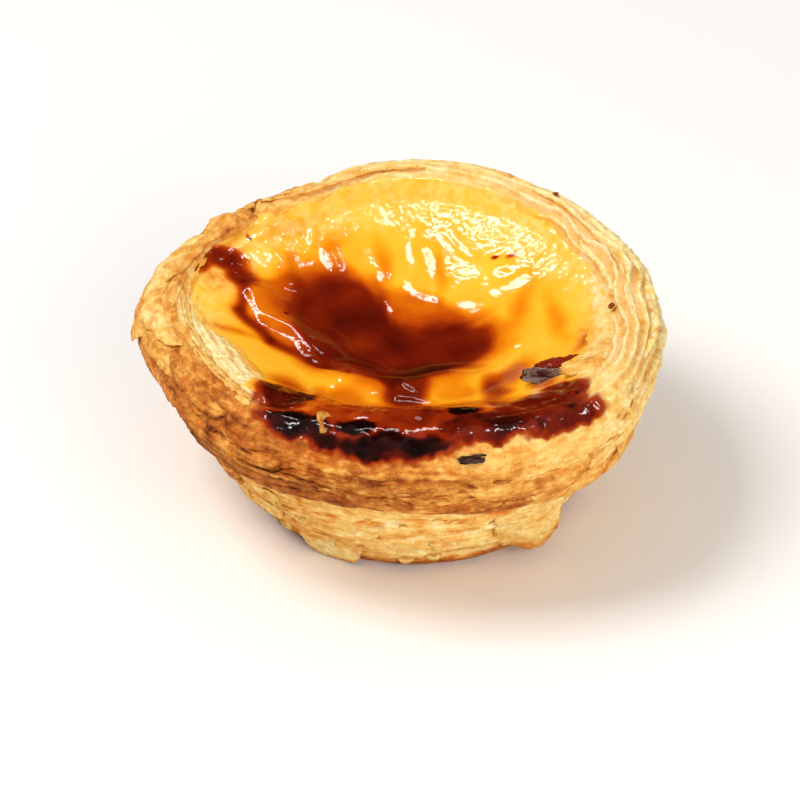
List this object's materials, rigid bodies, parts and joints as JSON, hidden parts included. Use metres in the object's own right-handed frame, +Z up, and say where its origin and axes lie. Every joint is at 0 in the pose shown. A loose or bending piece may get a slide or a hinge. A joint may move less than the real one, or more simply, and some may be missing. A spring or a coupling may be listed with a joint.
{
  "type": "portuguese custard tart",
  "caption": "Round flaky pastry tart with a sunken, glossy baked custard and a scorched front rim, flat underneath.",
  "frame": {"origin": "middle of the flat underside of the pastry case, at the height it rests on", "axes": "+Z up through the tart; -Y towards the scorched part of the rim; +X to the right of someone who faces that part"},
  "size_m": [0.0776, 0.0773, 0.0343],
  "materials": {
    "pastry": "flaky baked puff pastry, matte, browned on its raised edges",
    "custard": "glossy baked egg custard with a burnt skin"
  },
  "bodies": {
    "root": {"pastry_case": "pastry", "custard": "custard"}
  },
  "joints": []
}
